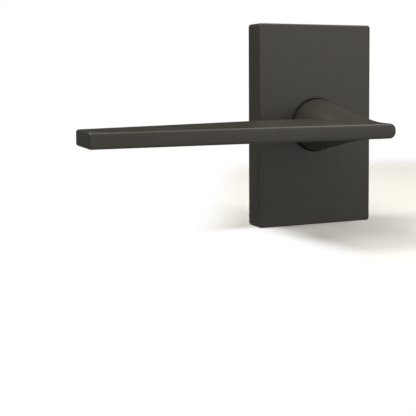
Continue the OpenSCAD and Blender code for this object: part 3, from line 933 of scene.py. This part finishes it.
def slanted_fade(tree, parts, lean, zero_at, one_at):
    """A fade across the floor along a slanted line, in millimetres."""
    node = tree.nodes.new("ShaderNodeMath")
    node.operation = "MULTIPLY_ADD"
    node.inputs[1].default_value = lean
    tree.links.new(parts.outputs["Y"], node.inputs[0])
    tree.links.new(parts.outputs["X"], node.inputs[2])
    return smooth_step(tree, node.outputs["Value"], zero_at * MM, one_at * MM)


def oval_fade(tree, where):
    """1 in the middle of an oval on the floor and 0 from its edge outwards."""
    centred = tree.nodes.new("ShaderNodeMapping")
    centred.inputs["Location"].default_value = (
        -OVAL_CENTRE[0] / OVAL_RADII[0], -OVAL_CENTRE[1] / OVAL_RADII[1], 0)
    centred.inputs["Scale"].default_value = (1 / (OVAL_RADII[0] * MM), 1 / (OVAL_RADII[1] * MM), 0)
    tree.links.new(where, centred.inputs["Vector"])
    reach = tree.nodes.new("ShaderNodeVectorMath")
    reach.operation = "LENGTH"
    tree.links.new(centred.outputs["Vector"], reach.inputs[0])
    return smooth_step(tree, reach.outputs["Value"], 1.0, 0.55)


def floor_finish():
    """A matt pale floor that is clear beyond the oval, on its left and in the lever's sweep."""
    material, tree, surface = shader("pale_floor")
    where = place(tree)
    tint = noise(tree, where, 9, 2)
    tree.links.new(blend_colour(tree, tint, *FLOOR_COLOURS), surface.inputs["Base Color"])
    surface.inputs["Roughness"].default_value = 0.9
    surface.inputs["Specular IOR Level"].default_value = 0.0
    parts = tree.nodes.new("ShaderNodeSeparateXYZ")
    tree.links.new(where, parts.inputs[0])
    shown = times(tree, oval_fade(tree, where), slanted_fade(tree, parts, *SIDE_FADE))
    # the lever's blade passes through the front left corner when it is pressed
    front = smooth_step(tree, parts.outputs["Y"], *(y * MM for y in SWEEP_FRONT_FADE))
    swept = times(tree, slanted_fade(tree, parts, *SWEEP_FADE), front)
    shown = times(tree, shown, spread(tree, swept, 0, 1, 1, 0))
    tree.links.new(shown, surface.inputs["Alpha"])
    return material


def make_floor():
    """A floor that takes the rosette's shadow, but throws no light on it and isn't mirrored in it."""
    z = cover_low[2]
    (left, right), (front, back) = FLOOR_X, FLOOR_Y
    corners = [(left, front, z), (right, front, z), (right, back, z), (left, back, z)]
    floor = solid("floor", corners, [(0, 1, 2, 3)])
    floor.data.materials.append(floor_finish())
    floor.visible_diffuse = False
    floor.visible_glossy = False


def background(tree, strength, colour):
    """A background shader, whose strength is a socket or a number."""
    node = tree.nodes.new("ShaderNodeBackground")
    if isinstance(strength, float):
        node.inputs["Strength"].default_value = strength
    else:
        tree.links.new(strength, node.inputs["Strength"])
    node.inputs["Color"].default_value = (*colour, 1)
    return node.outputs[0]


def make_world():
    """White to the camera. To the object, a studio that glows mostly in front of it and below."""
    world = bpy.data.worlds.new("studio")
    bpy.context.scene.world = world
    world.use_nodes = True
    tree = world.node_tree
    tree.nodes.clear()
    coords = tree.nodes.new("ShaderNodeTexCoord")
    parts = tree.nodes.new("ShaderNodeSeparateXYZ")
    tree.links.new(coords.outputs["Generated"], parts.inputs[0])
    total = None
    for axis, sign, gain in WORLD_GLOW:
        along = times(tree, parts.outputs[axis], float(sign))
        glow = spread(tree, along, 0.0, 1.0, 0.0, gain)
        if total is None:
            total = glow
            continue
        both = tree.nodes.new("ShaderNodeMath")
        both.operation = "ADD"
        tree.links.new(total, both.inputs[0])
        tree.links.new(glow, both.inputs[1])
        total = both.outputs["Value"]
    mix = tree.nodes.new("ShaderNodeMixShader")
    seen = tree.nodes.new("ShaderNodeLightPath")
    tree.links.new(seen.outputs["Is Camera Ray"], mix.inputs[0])
    tree.links.new(background(tree, total, WARM), mix.inputs[1])
    tree.links.new(background(tree, 1.0, WHITE), mix.inputs[2])
    out = tree.nodes.new("ShaderNodeOutputWorld")
    tree.links.new(mix.outputs[0], out.inputs["Surface"])


def softbox(name, azimuth, elevation, distance, size, power):
    """A square soft light aimed at the lever."""
    data = bpy.data.lights.new(name, "AREA")
    data.shape = "SQUARE"
    data.size = size * MM
    data.energy = power
    data.color = WARM
    lamp = bpy.data.objects.new(name, data)
    bpy.context.collection.objects.link(lamp)
    az, el = math.radians(azimuth), math.radians(elevation)
    away = Vector((math.sin(az) * math.cos(el), -math.cos(az) * math.cos(el), math.sin(el)))
    lamp.location = (Vector(LIGHT_TARGET) + away * distance) * MM
    lamp.rotation_euler = (-away).to_track_quat("-Z", "Y").to_euler()
    return lamp


def make_camera():
    """The camera that gives the photo's view."""
    data = bpy.data.cameras.new("camera")
    data.sensor_width = 36
    data.lens = CAMERA_LENS
    data.shift_x, data.shift_y = CAMERA_SHIFT
    data.clip_start, data.clip_end = 0.01, 20
    camera = bpy.data.objects.new("camera", data)
    bpy.context.collection.objects.link(camera)
    turn = (Matrix.Rotation(-CAMERA_YAW, 4, "Z") @ Matrix.Rotation(math.pi / 2 - CAMERA_PITCH, 4, "X")
            @ Matrix.Rotation(CAMERA_ROLL, 4, "Z"))
    camera.matrix_world = Matrix.Translation(Vector(CAMERA_PLACE) * MM) @ turn
    bpy.context.scene.camera = camera


make_floor()
make_world()
for light in SOFTBOXES:
    softbox(*light)
make_camera()
bpy.context.scene.view_settings.view_transform = "Standard"
